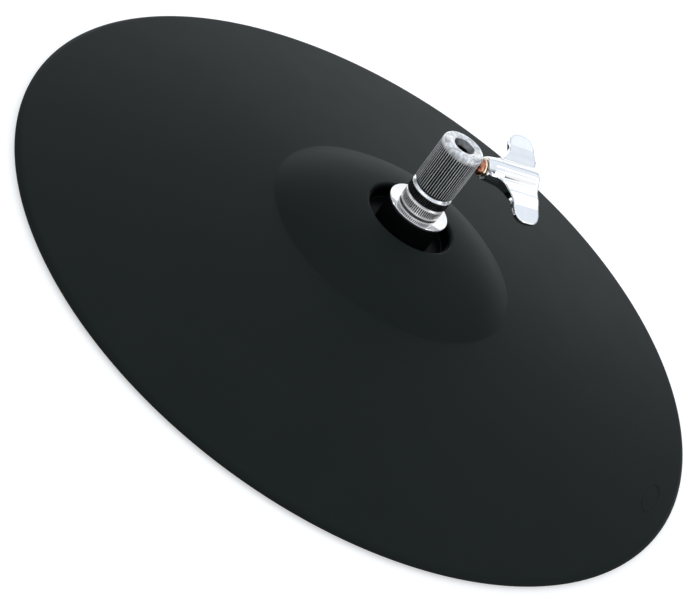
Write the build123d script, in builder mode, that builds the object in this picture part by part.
from build123d import *
import os
from math import cos, hypot, pi, radians, sin, sqrt

os.makedirs("parts", exist_ok=True)

# ------------------------------------------------------------------
# Electronic hi-hat pad (top cymbal) with its clutch.
# Millimetres, +Z up. The origin is the centre of the rim's rest plane,
# the clutch stands on +Z and its wing screw points along +X.
# ------------------------------------------------------------------

# Pad outline: a 14 inch cymbal
PAD_RADIUS = 178.0
RIM_HEIGHT = 2.6          # widest circle of the rim above the rest plane
CREASE_RADIUS = 62.7      # where the bell meets the bow
CREASE_RISE = 19.2        # crease above the widest circle
HOLE_RADIUS = 21.7        # opening in the top of the bell
HOLE_RISE = 35.0
BOW_END_RADIUS = 175.6    # the bow's arc ends here and the bead starts
BOW_END_RISE = 1.3
BOW_BULGE = 0.8           # how far the bow's arc stands above its chord
BELL_BULGE = 2.9

# Layers, measured straight down from the playing surface
SKIN_DEPTH = 2.0
FILM_DEPTH = 2.8          # underside of the switch films and the foam
PLATE_DEPTH = 4.8         # underside of the base plate
LIP_RADIUS = 1.4          # rounded edge of the rubber round the bell hole
BEAD_BOTTOM = 1.0         # lower edge of the rubber bead above the rest plane
BEAD_SEAT_RADIUS = 176.0  # outside of the base plate, inside of the bead

# Hub in the middle of the bell
CUP_RADIUS = 21.2         # inside of the well
CUP_OUTER_RADIUS = 23.4
HUB_FLANGE_RADIUS = 27.0
HUB_LIP_RADIUS = 33.0
HUB_LIP_BOTTOM = 28.0
WEB_TOP = 30.0            # floor of the well, where the cushion sits
WEB_BOTTOM = 26.5
HUB_BORE_RADIUS = 7.6
HUB_SCREW_CIRCLE = 30.2

# Sensor base: the flat disc that closes the bell from below
BASE_TOP = CREASE_RISE + RIM_HEIGHT - PLATE_DEPTH
BASE_THICKNESS = 2.0
BASE_BOTTOM = BASE_TOP - BASE_THICKNESS
BASE_INNER_RADIUS = 23.6
BASE_OUTER_RADIUS = 62.0
BASE_SCREW_CIRCLE = 53.5
BOSS_RADIUS = 3.2

# Clutch
STEM_RADIUS = 6.0
ROD_BORE_RADIUS = 3.5     # for a 6 to 6.75 mm hi-hat rod
STEM_BOTTOM = 5.5
BARREL_RADIUS = 10.3
BARREL_BOTTOM = 57.1
BARREL_TOP = 82.9
BARREL_EDGE = 1.5
MOUTH_RADIUS = 5.3
MOUTH_DEPTH = 2.6
THREAD_CLEARANCE = 0.05
FLANGE_RADIUS = 15.1
FLANGE_THICKNESS = 1.5
FLANGE_TOP = 44.4
NUT_RADIUS = 10.1
NUT_HEIGHT = 6.25
NUT_CHAMFER = 0.9
CUSHION_RADIUS = 14.4
FELT_RADIUS = 14.4
FELT_BORE_RADIUS = 6.4
LOWER_FELT_TOP = 26.1
LOWER_FELT_BOTTOM = 18.2
FELT_CROWN = 0.5
CUP_WASHER_BOTTOM = 16.6
BOTTOM_NUT_BOTTOM = 8.4

# Wing screw, on an axis along +X
WING_HEIGHT = 74.8
WING_TILT = 23.0          # the wings' turn about the screw axis, in degrees
SCREW_RADIUS = 3.0
TIP_START = 3.6           # just outside the rod bore
TIP_LENGTH = 1.6
SHOULDER_START = 11.3
SHOULDER_RADIUS = 3.9
COLLAR_START = 14.0
COLLAR_RADIUS = 4.4
WING_START = 15.3
NECK_END = 15.7           # a short neck between the collar and the wing's hub
NECK_RADIUS = 4.2
HUB_START_RADIUS = 5.2
HUB_END_RADIUS = 6.2
HUB_END = 44.2
WING_END = 46.5
WING_TIP_RADIUS = 7.4
WING_HALF_SPAN = 22.9
ROOT_THICKNESS = 4.8
TIP_THICKNESS = 2.4

# Jack box under the bell, on the +Y side
BOX_HALF_LENGTH = 31.0
BOX_NEAR = 31.0
BOX_FAR = 57.0
BOX_BOTTOM = 1.6
BOX_WALL = 2.0
JACK_HEIGHT = 8.6
JACK_HALF_WIDTH = 5.0
JACK_INNER = 5.0
JACK_NOSE_RADIUS = 4.6
JACK_NOSE_END = 35.0
SOCKET_RADIUS = 3.2       # for a 6.35 mm plug
SOCKET_LENGTH = 27.0
BOARD_THICKNESS = 1.2
BOX_SCREW_X = 26.4
BOX_SCREW_INSET = 3.6

SCREW_HEAD_RADIUS = 2.4
SCREW_HEAD_HEIGHT = 1.5
SCREW_SHANK_RADIUS = 1.1
SCREW_HOLE_RADIUS = 1.2

BOX_MIDDLE = (BOX_NEAR + BOX_FAR) / 2


# ------------------------------------------------------------------
# Shared shapes
# ------------------------------------------------------------------
def arc_height(r, start, end, bulge):
    """Height at radius r of the arc from start to end that bulges up."""
    half = hypot(end[0] - start[0], end[1] - start[1]) / 2
    radius = (half**2 + bulge**2) / (2 * bulge)
    run, rise = (end[0] - start[0]) / 2, (end[1] - start[1]) / 2
    centre_r = start[0] + run + rise / half * (radius - bulge)
    centre_z = start[1] + rise - run / half * (radius - bulge)
    return centre_z + sqrt(radius**2 - (r - centre_r) ** 2)


HOLE_POINT = (HOLE_RADIUS, RIM_HEIGHT + HOLE_RISE)
CREASE_POINT = (CREASE_RADIUS, RIM_HEIGHT + CREASE_RISE)
BOW_END_POINT = (BOW_END_RADIUS, RIM_HEIGHT + BOW_END_RISE)


def surface(r, depth=0.0):
    """Point of the pad's profile at radius r, depth below the playing surface."""
    if r <= CREASE_RADIUS:
        return r, arc_height(r, HOLE_POINT, CREASE_POINT, BELL_BULGE) - depth
    return r, arc_height(r, CREASE_POINT, BOW_END_POINT, BOW_BULGE) - depth


def surface_line(r_in, r_out, depth):
    """Draw the profile between two radii, with its corner at the crease."""
    corners = [r_in, r_out]
    if r_in < CREASE_RADIUS < r_out:
        corners = [r_in, CREASE_RADIUS, r_out]
    for a, b in zip(corners, corners[1:]):
        ThreePointArc(surface(a, depth), surface((a + b) / 2, depth), surface(b, depth))


def layer_outline(r_in, r_out, depth_top, depth_bottom):
    """Draw a closed band of the profile between two depths."""
    surface_line(r_in, r_out, depth_top)
    Line(surface(r_out, depth_top), surface(r_out, depth_bottom))
    surface_line(r_in, r_out, depth_bottom)
    Line(surface(r_in, depth_bottom), surface(r_in, depth_top))


def save(part, name):
    part.label = name
    export_step(part, f"parts/{name}.step")


def ring_layer(name, r_in, r_out, depth_top, depth_bottom):
    """A thin ring that follows the playing surface."""
    with BuildPart() as ring:
        with BuildSketch(Plane.XZ):
            with BuildLine():
                layer_outline(r_in, r_out, depth_top, depth_bottom)
            make_face()
        revolve(axis=Axis.Z)
    save(ring.part, name)


# ------------------------------------------------------------------
# The pad: skin, films, foam and plate
# ------------------------------------------------------------------
with BuildPart() as rubber_skin:
    lip_end = surface(HOLE_RADIUS + LIP_RADIUS)
    lip_foot = (HOLE_RADIUS, lip_end[1] - LIP_RADIUS)
    lip_middle = (
        HOLE_RADIUS + LIP_RADIUS * (1 - cos(pi / 4)),
        lip_end[1] - LIP_RADIUS * (1 - sin(pi / 4)),
    )
    widest = (PAD_RADIUS, RIM_HEIGHT - 0.3)
    bead_shoulder = (PAD_RADIUS - 0.75, BOW_END_POINT[1] - 0.85)
    bead_foot = (PAD_RADIUS - 0.9, BEAD_BOTTOM)
    bead_turn = (PAD_RADIUS - 0.25, BEAD_BOTTOM + 0.35)
    seat_top = RIM_HEIGHT - 0.5
    step_radius = 173.2
    with BuildSketch(Plane.XZ):
        with BuildLine():
            ThreePointArc(lip_foot, lip_middle, lip_end)
            surface_line(lip_end[0], BOW_END_RADIUS, 0)
            ThreePointArc(BOW_END_POINT, bead_shoulder, widest)
            ThreePointArc(widest, bead_turn, bead_foot)
            Polyline(
                bead_foot,
                (BEAD_SEAT_RADIUS, BEAD_BOTTOM),
                (BEAD_SEAT_RADIUS, seat_top),
                (step_radius, seat_top),
                surface(step_radius, SKIN_DEPTH),
            )
            surface_line(HOLE_RADIUS, step_radius, SKIN_DEPTH)
            Line(surface(HOLE_RADIUS, SKIN_DEPTH), lip_foot)
        make_face()
    revolve(axis=Axis.Z)
save(rubber_skin.part, "rubber_skin")

ring_layer("bell_switch_ring", 27.5, 61.0, SKIN_DEPTH, FILM_DEPTH)
ring_layer("bow_cushion", 65.0, 157.0, SKIN_DEPTH, FILM_DEPTH)
ring_layer("edge_switch_ring", 158.0, 172.8, SKIN_DEPTH, FILM_DEPTH)

with BuildPart() as base_plate:
    plate_inner_radius = HUB_FLANGE_RADIUS + 0.2
    flat_radius = 168.0
    with Locations((0, 0, BASE_TOP)):
        with PolarLocations(BASE_SCREW_CIRCLE, 4, start_angle=45):
            Cylinder(BOSS_RADIUS, 14, align=(Align.CENTER, Align.CENTER, Align.MIN))
    with BuildSketch(Plane.XZ):
        with BuildLine():
            surface_line(plate_inner_radius, BOW_END_RADIUS, FILM_DEPTH)
            Polyline(
                surface(BOW_END_RADIUS, FILM_DEPTH),
                (BOW_END_RADIUS, 60),
                (plate_inner_radius, 60),
                surface(plate_inner_radius, FILM_DEPTH),
            )
        make_face()
    revolve(axis=Axis.Z, mode=Mode.SUBTRACT)
    with BuildSketch(Plane.XZ):
        with BuildLine():
            surface_line(plate_inner_radius, step_radius, FILM_DEPTH)
            Polyline(
                surface(step_radius, FILM_DEPTH),
                (step_radius, seat_top),
                (BEAD_SEAT_RADIUS, seat_top),
                (BEAD_SEAT_RADIUS, 0.3),
                (BEAD_SEAT_RADIUS - 0.3, 0),
                (flat_radius, 0),
                surface(flat_radius, PLATE_DEPTH),
            )
            surface_line(plate_inner_radius, flat_radius, PLATE_DEPTH)
            Line(
                surface(plate_inner_radius, PLATE_DEPTH),
                surface(plate_inner_radius, FILM_DEPTH),
            )
        make_face()
    revolve(axis=Axis.Z)
    with Locations((0, 0, BASE_TOP)):
        with PolarLocations(BASE_SCREW_CIRCLE, 4, start_angle=45):
            Cylinder(
                SCREW_HOLE_RADIUS, 5.5,
                align=(Align.CENTER, Align.CENTER, Align.MIN), mode=Mode.SUBTRACT,
            )
    with Locations((0, 0, HUB_LIP_BOTTOM)):
        with PolarLocations(HUB_SCREW_CIRCLE, 3, start_angle=90):
            Cylinder(
                SCREW_HOLE_RADIUS, 4.6,
                align=(Align.CENTER, Align.CENTER, Align.MIN), mode=Mode.SUBTRACT,
            )
save(base_plate.part, "base_plate")

# ------------------------------------------------------------------
# Hub: the well in the bell, with the web that the cushion and felt clamp
# ------------------------------------------------------------------
with BuildPart() as hub_cup:
    with BuildSketch(Plane.XZ):
        with BuildLine():
            surface_line(CUP_RADIUS, HUB_FLANGE_RADIUS, SKIN_DEPTH)
            Line(
                surface(HUB_FLANGE_RADIUS, SKIN_DEPTH),
                surface(HUB_FLANGE_RADIUS, PLATE_DEPTH),
            )
            surface_line(HUB_FLANGE_RADIUS, HUB_LIP_RADIUS, PLATE_DEPTH)
            Polyline(
                surface(HUB_LIP_RADIUS, PLATE_DEPTH),
                (HUB_LIP_RADIUS, HUB_LIP_BOTTOM),
                (CUP_OUTER_RADIUS, HUB_LIP_BOTTOM),
                (CUP_OUTER_RADIUS, BASE_BOTTOM),
                (CUP_RADIUS, BASE_BOTTOM),
                (CUP_RADIUS, WEB_BOTTOM),
                (HUB_BORE_RADIUS, WEB_BOTTOM),
                (HUB_BORE_RADIUS, WEB_TOP),
                (CUP_RADIUS, WEB_TOP),
                surface(CUP_RADIUS, SKIN_DEPTH),
            )
        make_face()
    revolve(axis=Axis.Z)
    well_edges = hub_cup.edges().filter_by(GeomType.CIRCLE)
    fillet(
        well_edges.filter_by(
            lambda e: abs(e.radius - CUP_RADIUS) < 0.01
            and abs(e.center().Z - WEB_TOP) < 0.01
        ),
        1.0,
    )
    with Locations((0, 0, HUB_LIP_BOTTOM)):
        with PolarLocations(HUB_SCREW_CIRCLE, 3, start_angle=90):
            Cylinder(
                SCREW_HOLE_RADIUS, 8,
                align=(Align.CENTER, Align.CENTER, Align.MIN), mode=Mode.SUBTRACT,
            )
save(hub_cup.part, "hub_cup")


def screw_group(name, height, shank_length, places):
    """Identical pan-head screws, driven upwards, with their heads under height."""
    head_foot = (SCREW_HEAD_RADIUS - 0.8, -SCREW_HEAD_HEIGHT)
    head_side = (SCREW_HEAD_RADIUS, -0.5)
    with BuildPart() as screw:
        with BuildSketch(Plane.XZ):
            with BuildLine():
                Line((0, -SCREW_HEAD_HEIGHT), head_foot)
                ThreePointArc(
                    head_foot,
                    (SCREW_HEAD_RADIUS - 0.2, -SCREW_HEAD_HEIGHT + 0.35),
                    head_side,
                )
                Polyline(
                    head_side,
                    (SCREW_HEAD_RADIUS, 0),
                    (SCREW_SHANK_RADIUS, 0),
                    (SCREW_SHANK_RADIUS, shank_length - 0.6),
                    (SCREW_SHANK_RADIUS - 0.6, shank_length),
                    (0, shank_length),
                    (0, -SCREW_HEAD_HEIGHT),
                )
            make_face()
        revolve(axis=Axis.Z)
        with Locations((0, 0, -SCREW_HEAD_HEIGHT)):
            for slot in ((0.6, 3.0), (3.0, 0.6)):
                Box(
                    *slot, 0.8,
                    align=(Align.CENTER, Align.CENTER, Align.MIN), mode=Mode.SUBTRACT,
                )
    with BuildPart() as group:
        with Locations(*[(x, y, height) for x, y in places]):
            add(screw.part)
    save(group.part, name)


def on_circle(radius, count, start):
    """Places evenly spaced on a circle about the origin."""
    angles = [radians(start + 360 / count * i) for i in range(count)]
    return [(radius * cos(a), radius * sin(a)) for a in angles]


screw_group("hub_screws", HUB_LIP_BOTTOM, 4.2, on_circle(HUB_SCREW_CIRCLE, 3, 90))

# ------------------------------------------------------------------
# Sensor base, its screws and the piezo sensor
# ------------------------------------------------------------------
BASE_SCREW_PLACES = on_circle(BASE_SCREW_CIRCLE, 4, 45)
BOX_SCREW_PLACES = [
    (x, y)
    for x in (-BOX_SCREW_X, BOX_SCREW_X)
    for y in (BOX_NEAR + BOX_SCREW_INSET, BOX_FAR - BOX_SCREW_INSET)
]

with BuildPart() as bell_base:
    with BuildSketch(Plane.XY.offset(BASE_BOTTOM)):
        Circle(BASE_OUTER_RADIUS)
        Circle(BASE_INNER_RADIUS, mode=Mode.SUBTRACT)
        with Locations(*BASE_SCREW_PLACES, *BOX_SCREW_PLACES):
            Circle(SCREW_HOLE_RADIUS, mode=Mode.SUBTRACT)
    extrude(amount=BASE_THICKNESS)
    with BuildSketch(Plane.XY.offset(BASE_BOTTOM)):
        with PolarLocations(0, 12):
            with Locations((43, 0)):
                Rectangle(22, 1.2)
        with Locations((0, BOX_MIDDLE)):
            Rectangle(2 * BOX_HALF_LENGTH + 4, BOX_FAR - BOX_NEAR + 4, mode=Mode.SUBTRACT)
    extrude(amount=-1.2)
save(bell_base.part, "bell_base")

screw_group("base_screws", BASE_BOTTOM, 6.5, BASE_SCREW_PLACES)

PIEZO_PLACE = (0, -43)
FOAM_HEIGHT = 3.0
with BuildPart() as piezo_foam:
    with BuildSketch(Plane.XY.offset(BASE_TOP)):
        with Locations(PIEZO_PLACE):
            Circle(12)
    extrude(amount=FOAM_HEIGHT)
save(piezo_foam.part, "piezo_foam")

with BuildPart() as piezo_disc:
    with BuildSketch(Plane.XY.offset(BASE_TOP + FOAM_HEIGHT)):
        with Locations(PIEZO_PLACE):
            Circle(13.5)
    extrude(amount=0.3)
save(piezo_disc.part, "piezo_disc")

with BuildPart() as piezo_ceramic:
    with BuildSketch(Plane.XY.offset(BASE_TOP + FOAM_HEIGHT + 0.3)):
        with Locations(PIEZO_PLACE):
            Circle(10)
    extrude(amount=0.25)
save(piezo_ceramic.part, "piezo_ceramic")

# Two wires that run round the hub on the base disc, from piezo to connector
with BuildPart() as piezo_leads:
    for lead_radius in (37.0, 39.2):
        with BuildSketch(Plane.XZ.rotated((0, 0, -70))):
            with Locations((lead_radius, BASE_TOP + 0.7)):
                Circle(0.6)
        revolve(axis=Axis.Z, revolution_arc=125)
save(piezo_leads.part, "piezo_leads")

CONNECTOR_ANGLE = 61.0
with BuildPart() as lead_connector:
    with Locations(Plane.XY.offset(BASE_TOP).rotated((0, 0, CONNECTOR_ANGLE))):
        with Locations((38.1, 0, 0)):
            Box(7, 6, 4, align=(Align.CENTER, Align.CENTER, Align.MIN))
    fillet(lead_connector.edges().filter_by(Axis.Z), 0.6)
save(lead_connector.part, "lead_connector")

# ------------------------------------------------------------------
# Jack box: housing, board, two jacks and their nuts
# ------------------------------------------------------------------
BOX_HEIGHT = BASE_BOTTOM - BOX_BOTTOM
with BuildPart() as jack_housing:
    with BuildSketch(Plane.XY.offset(BOX_BOTTOM)):
        with Locations((0, BOX_MIDDLE)):
            RectangleRounded(2 * BOX_HALF_LENGTH, BOX_FAR - BOX_NEAR, 4)
    extrude(amount=BOX_HEIGHT)
    fillet(jack_housing.faces().sort_by(Axis.Z)[0].edges(), 1.5)
    with BuildSketch(Plane.XY.offset(BOX_BOTTOM + BOX_WALL)):
        with Locations((0, BOX_MIDDLE)):
            RectangleRounded(
                2 * (BOX_HALF_LENGTH - BOX_WALL), BOX_FAR - BOX_NEAR - 2 * BOX_WALL, 2
            )
    extrude(amount=BOX_HEIGHT, mode=Mode.SUBTRACT)
    with BuildSketch(Plane.XY.offset(BOX_BOTTOM + BOX_WALL)):
        with Locations(*BOX_SCREW_PLACES):
            Circle(BOSS_RADIUS)
    extrude(amount=BOX_HEIGHT - BOX_WALL)
    with BuildSketch(Plane.XY.offset(BOX_BOTTOM)):
        with Locations(*BOX_SCREW_PLACES):
            Circle(SCREW_HOLE_RADIUS)
    extrude(amount=BOX_HEIGHT, mode=Mode.SUBTRACT)
    with BuildSketch(Plane.XY.offset(BOX_BOTTOM)):
        with Locations(*BOX_SCREW_PLACES):
            Circle(SCREW_HEAD_RADIUS + 0.15)
    extrude(amount=SCREW_HEAD_HEIGHT + 0.5, mode=Mode.SUBTRACT)
    with BuildSketch(Plane.YZ.offset(-BOX_HALF_LENGTH)):
        with Locations((BOX_MIDDLE, JACK_HEIGHT)):
            Circle(JACK_NOSE_RADIUS + 0.1)
    extrude(amount=2 * BOX_HALF_LENGTH, mode=Mode.SUBTRACT)
save(jack_housing.part, "jack_housing")

screw_group(
    "housing_screws", BOX_BOTTOM + SCREW_HEAD_HEIGHT + 0.5, 13.0, BOX_SCREW_PLACES
)

BOARD_BOTTOM = JACK_HEIGHT + JACK_HALF_WIDTH
with BuildPart() as jack_board:
    with BuildSketch(Plane.XY.offset(BOARD_BOTTOM)):
        with Locations((0, BOX_MIDDLE)):
            Rectangle(42, 20)
    extrude(amount=BOARD_THICKNESS)
save(jack_board.part, "jack_board")


def output_jack(name, side):
    """A 6.35 mm jack whose socket opens towards side, which is 1 or -1."""
    wall_inside = BOX_HALF_LENGTH - BOX_WALL
    with BuildPart() as jack:
        with Locations((side * (JACK_INNER + wall_inside) / 2, BOX_MIDDLE, JACK_HEIGHT)):
            Box(wall_inside - JACK_INNER, 2 * JACK_HALF_WIDTH, 2 * JACK_HALF_WIDTH)
        fillet(jack.edges().filter_by(Axis.X), 0.8)
        with BuildSketch(Plane.YZ.offset(side * wall_inside)):
            with Locations((BOX_MIDDLE, JACK_HEIGHT)):
                Circle(JACK_NOSE_RADIUS)
        extrude(amount=side * (JACK_NOSE_END - wall_inside))
        with BuildSketch(Plane.YZ.offset(side * JACK_NOSE_END)):
            with Locations((BOX_MIDDLE, JACK_HEIGHT)):
                Circle(SOCKET_RADIUS)
        extrude(amount=-side * SOCKET_LENGTH, mode=Mode.SUBTRACT)
    save(jack.part, name)


output_jack("bow_jack", 1)
output_jack("bell_jack", -1)

with BuildPart() as jack_nuts:
    for side in (1, -1):
        with BuildSketch(Plane.YZ.offset(side * BOX_HALF_LENGTH)):
            with Locations((BOX_MIDDLE, JACK_HEIGHT)):
                RegularPolygon(6.4, 6)
                Circle(JACK_NOSE_RADIUS + THREAD_CLEARANCE, mode=Mode.SUBTRACT)
        extrude(amount=side * 2.2)
save(jack_nuts.part, "jack_nuts")

# ------------------------------------------------------------------
# Clutch body: fluted barrel and hollow threaded stem in one piece
# ------------------------------------------------------------------
with BuildPart() as clutch_body:
    with BuildSketch(Plane.XZ):
        with BuildLine():
            Polyline(
                (ROD_BORE_RADIUS, STEM_BOTTOM + 0.5),
                (ROD_BORE_RADIUS + 0.5, STEM_BOTTOM),
                (STEM_RADIUS - 0.8, STEM_BOTTOM),
                (STEM_RADIUS, STEM_BOTTOM + 0.8),
                (STEM_RADIUS, BARREL_BOTTOM),
                (BARREL_RADIUS - 0.5, BARREL_BOTTOM),
                (BARREL_RADIUS, BARREL_BOTTOM + 0.5),
                (BARREL_RADIUS, BARREL_TOP - BARREL_EDGE),
            )
            ThreePointArc(
                (BARREL_RADIUS, BARREL_TOP - BARREL_EDGE),
                (
                    BARREL_RADIUS - BARREL_EDGE * (1 - cos(pi / 4)),
                    BARREL_TOP - BARREL_EDGE * (1 - sin(pi / 4)),
                ),
                (BARREL_RADIUS - BARREL_EDGE, BARREL_TOP),
            )
            Polyline(
                (BARREL_RADIUS - BARREL_EDGE, BARREL_TOP),
                (MOUTH_RADIUS, BARREL_TOP),
                (ROD_BORE_RADIUS, BARREL_TOP - MOUTH_DEPTH),
                (ROD_BORE_RADIUS, STEM_BOTTOM + 0.5),
            )
        make_face()
    revolve(axis=Axis.Z)
    with BuildSketch(Plane.YZ):
        with Locations((0, WING_HEIGHT)):
            Circle(SCREW_RADIUS + THREAD_CLEARANCE)
    extrude(amount=BARREL_RADIUS + 1, mode=Mode.SUBTRACT)
save(clutch_body.part, "clutch_body")

# Nylon sleeve in the hub's bore
with BuildPart() as centre_sleeve:
    with BuildSketch(Plane.XY.offset(WEB_BOTTOM + 0.15)):
        Circle(HUB_BORE_RADIUS - 0.2)
        Circle(STEM_RADIUS + 0.3, mode=Mode.SUBTRACT)
    extrude(amount=WEB_TOP - WEB_BOTTOM - 0.3)
save(centre_sleeve.part, "centre_sleeve")


# ------------------------------------------------------------------
# What sits on the stem: cushion, felt, washers and knurled nuts
# ------------------------------------------------------------------
FLANGE_BOTTOM = FLANGE_TOP - FLANGE_THICKNESS

with BuildPart() as upper_cushion:
    with BuildSketch(Plane.XY.offset(WEB_TOP)):
        Circle(CUSHION_RADIUS)
        Circle(FELT_BORE_RADIUS, mode=Mode.SUBTRACT)
    extrude(amount=FLANGE_BOTTOM - WEB_TOP)
    floor_edges = upper_cushion.edges().filter_by(GeomType.CIRCLE).group_by(Axis.Z)[0]
    fillet(floor_edges.sort_by(SortBy.LENGTH)[-1], 0.8)
save(upper_cushion.part, "upper_cushion")

with BuildPart() as lower_felt:
    with BuildSketch(Plane.XZ):
        with BuildLine():
            Polyline(
                (FELT_BORE_RADIUS, LOWER_FELT_BOTTOM),
                (FELT_RADIUS, LOWER_FELT_BOTTOM),
                (FELT_RADIUS, LOWER_FELT_TOP - FELT_CROWN),
                (FELT_BORE_RADIUS, LOWER_FELT_TOP),
                close=True,
            )
        make_face()
    revolve(axis=Axis.Z)
save(lower_felt.part, "lower_felt")


def washer(name, bottom, top, radius, edge):
    """A turned washer on the stem with eased outer edges."""
    with BuildPart() as ring:
        with BuildSketch(Plane.XY.offset(bottom)):
            Circle(radius)
            Circle(STEM_RADIUS + THREAD_CLEARANCE, mode=Mode.SUBTRACT)
        extrude(amount=top - bottom)
        outer = ring.edges().filter_by(lambda e: abs(e.length - 2 * pi * radius) < 0.1)
        chamfer(outer.filter_by(GeomType.CIRCLE), edge)
    save(ring.part, name)


def knurled_nut(name, bottom, top):
    """A round nut for the stem, chamfered at both ends."""
    with BuildPart() as nut:
        with BuildSketch(Plane.XZ):
            with BuildLine():
                Polyline(
                    (STEM_RADIUS + THREAD_CLEARANCE, bottom),
                    (NUT_RADIUS - NUT_CHAMFER, bottom),
                    (NUT_RADIUS, bottom + NUT_CHAMFER),
                    (NUT_RADIUS, top - NUT_CHAMFER),
                    (NUT_RADIUS - NUT_CHAMFER, top),
                    (STEM_RADIUS + THREAD_CLEARANCE, top),
                    close=True,
                )
            make_face()
        revolve(axis=Axis.Z)
    save(nut.part, name)


washer("flange_washer", FLANGE_BOTTOM, FLANGE_TOP, FLANGE_RADIUS, 0.3)
knurled_nut("lower_lock_nut", FLANGE_TOP, FLANGE_TOP + NUT_HEIGHT)
knurled_nut("upper_lock_nut", FLANGE_TOP + NUT_HEIGHT, FLANGE_TOP + 2 * NUT_HEIGHT)
washer("cup_washer", CUP_WASHER_BOTTOM, LOWER_FELT_BOTTOM, FLANGE_RADIUS - 1, 0.3)
knurled_nut("bottom_nut", BOTTOM_NUT_BOTTOM, CUP_WASHER_BOTTOM)


# ------------------------------------------------------------------
# Wing screw: tip pad, threaded stud, collar and cast wing
# ------------------------------------------------------------------
SCREW_PLANE = Plane(origin=(0, 0, WING_HEIGHT), x_dir=(0, 1, 0), z_dir=(1, 0, 0))

with BuildPart() as thrust_pad:
    with BuildSketch(SCREW_PLANE.offset(TIP_START)):
        Circle(SCREW_RADIUS - 0.6)
    extrude(amount=TIP_LENGTH)
save(thrust_pad.part, "thrust_pad")

with BuildPart() as wing_stud:
    with BuildSketch(SCREW_PLANE.offset(TIP_START + TIP_LENGTH)):
        Circle(SCREW_RADIUS)
    extrude(amount=WING_START + 8 - TIP_START - TIP_LENGTH)
    with BuildSketch(SCREW_PLANE.offset(SHOULDER_START)):
        Circle(SHOULDER_RADIUS)
    extrude(amount=COLLAR_START - SHOULDER_START)
    chamfer(
        wing_stud.edges().filter_by(GeomType.CIRCLE).sort_by(Axis.X)[:2].sort_by(
            SortBy.LENGTH
        )[0],
        0.3,
    )
save(wing_stud.part, "wing_stud")

with BuildPart() as collar_ring:
    with BuildSketch(SCREW_PLANE.offset(COLLAR_START)):
        Circle(COLLAR_RADIUS)
        Circle(SCREW_RADIUS, mode=Mode.SUBTRACT)
    extrude(amount=WING_START - COLLAR_START)
    outer_edges = collar_ring.edges().filter_by(
        lambda e: abs(e.length - 2 * pi * COLLAR_RADIUS) < 0.1
    )
    fillet(outer_edges.filter_by(GeomType.CIRCLE), 0.4)
save(collar_ring.part, "collar_ring")

# The wings lie in a plane through the screw axis. Its x runs outwards along
# the screw and its y along the wings, down towards -Y.
wing_lean = radians(WING_TILT)
WING_PLANE = Plane(
    origin=(0, 0, WING_HEIGHT),
    x_dir=(1, 0, 0),
    z_dir=(0, sin(wing_lean), -cos(wing_lean)),
)
TIP_CENTRE_X = WING_END - 0.8 - WING_TIP_RADIUS
TIP_CENTRE_Y = WING_HALF_SPAN - WING_TIP_RADIUS
ROOT_X = WING_START + 5.1
ROOT_Y = 4.0

with BuildPart() as wing:
    with BuildSketch(WING_PLANE.offset(-ROOT_THICKNESS / 2)):
        for side in (1, -1):
            with BuildLine():
                Polyline(
                    (ROOT_X, side * ROOT_Y),
                    (ROOT_X, 0),
                    (WING_END, 0),
                    (TIP_CENTRE_X + WING_TIP_RADIUS, side * TIP_CENTRE_Y),
                )
                ThreePointArc(
                    (TIP_CENTRE_X + WING_TIP_RADIUS, side * TIP_CENTRE_Y),
                    (TIP_CENTRE_X, side * WING_HALF_SPAN),
                    (TIP_CENTRE_X - WING_TIP_RADIUS, side * TIP_CENTRE_Y),
                )
                ThreePointArc(
                    (TIP_CENTRE_X - WING_TIP_RADIUS, side * TIP_CENTRE_Y),
                    (WING_START + 12.7, side * 8.6),
                    (ROOT_X, side * ROOT_Y),
                )
            make_face()
    extrude(amount=ROOT_THICKNESS)
    # Seen along the screw, the tongues thin out from the hub to their tips
    with BuildSketch(Plane(origin=(0, 0, WING_HEIGHT), x_dir=WING_PLANE.y_dir, z_dir=(1, 0, 0))):
        Polygon(
            (-WING_HALF_SPAN, -TIP_THICKNESS / 2),
            (0, -ROOT_THICKNESS / 2),
            (WING_HALF_SPAN, -TIP_THICKNESS / 2),
            (WING_HALF_SPAN, TIP_THICKNESS / 2),
            (0, ROOT_THICKNESS / 2),
            (-WING_HALF_SPAN, TIP_THICKNESS / 2),
            align=None,
        )
    extrude(amount=WING_END, mode=Mode.INTERSECT)
    with BuildSketch(SCREW_PLANE.offset(NECK_END)):
        Circle(HUB_START_RADIUS)
    with BuildSketch(SCREW_PLANE.offset(HUB_END)):
        Circle(HUB_END_RADIUS)
    loft()
    with BuildSketch(SCREW_PLANE.offset(WING_START)):
        Circle(NECK_RADIUS)
    extrude(amount=NECK_END - WING_START)
    with BuildSketch(SCREW_PLANE.offset(WING_START)):
        Circle(SCREW_RADIUS)
    extrude(amount=8, mode=Mode.SUBTRACT)
save(wing.part, "wing")
